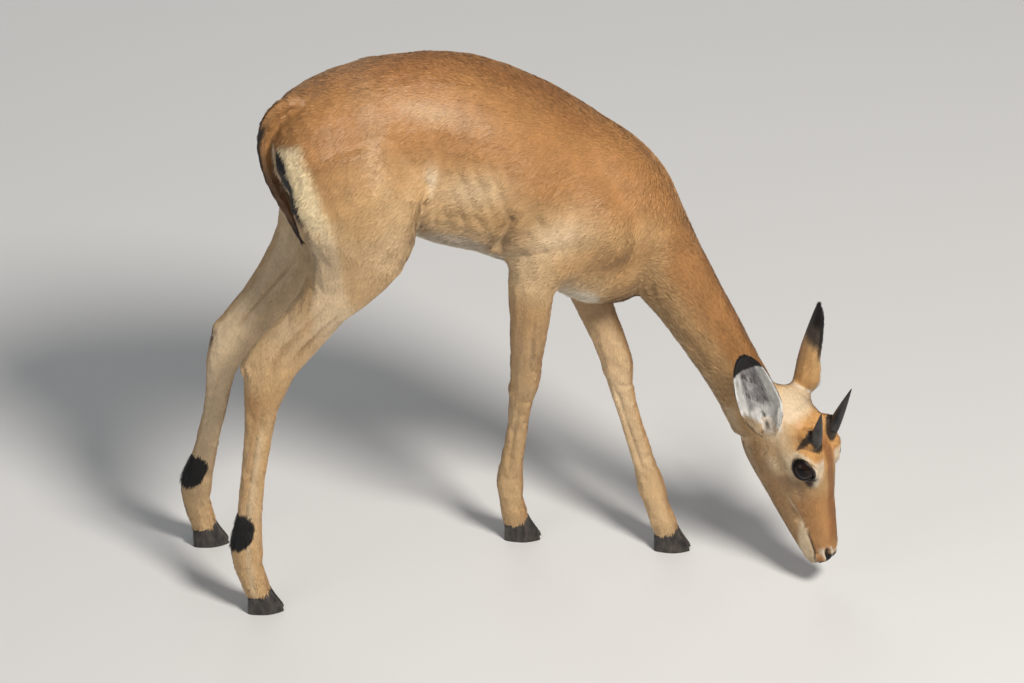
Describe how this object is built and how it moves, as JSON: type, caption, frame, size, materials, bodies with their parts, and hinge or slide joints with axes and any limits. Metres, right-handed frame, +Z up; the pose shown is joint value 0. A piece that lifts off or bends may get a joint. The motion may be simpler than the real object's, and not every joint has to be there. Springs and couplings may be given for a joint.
{
  "type": "impala antelope model",
  "caption": "Still, life-size model of a young male impala standing with its head lowered to drink, its short spike horns up and its face turned to its right.",
  "frame": {"origin": "middle of the bounding box's footprint, on the floor the hooves stand on", "axes": "+X the way the body faces, +Y the animal's left, +Z up"},
  "size_m": [0.8126, 0.2484, 0.7205],
  "materials": {
    "coat": "short smooth fur, tan above and white below",
    "eye": "wet gloss",
    "horn": "satin keratin",
    "hoof": "satin keratin"
  },
  "bodies": {
    "root": {"trunk": "coat", "neck": "coat", "head": "coat", "tail": "coat", "leg_fore_right": "coat", "leg_fore_left": "coat", "leg_hind_right": "coat", "leg_hind_left": "coat", "ear_right": "coat", "ear_left": "coat", "eye_right": "eye", "eye_left": "eye", "horn_right": "horn", "horn_left": "horn", "hoof_fore_right_right_claw": "hoof", "hoof_fore_right_left_claw": "hoof", "hoof_fore_left_right_claw": "hoof", "hoof_fore_left_left_claw": "hoof", "hoof_hind_right_right_claw": "hoof", "hoof_hind_right_left_claw": "hoof", "hoof_hind_left_right_claw": "hoof", "hoof_hind_left_left_claw": "hoof"}
  },
  "joints": []
}
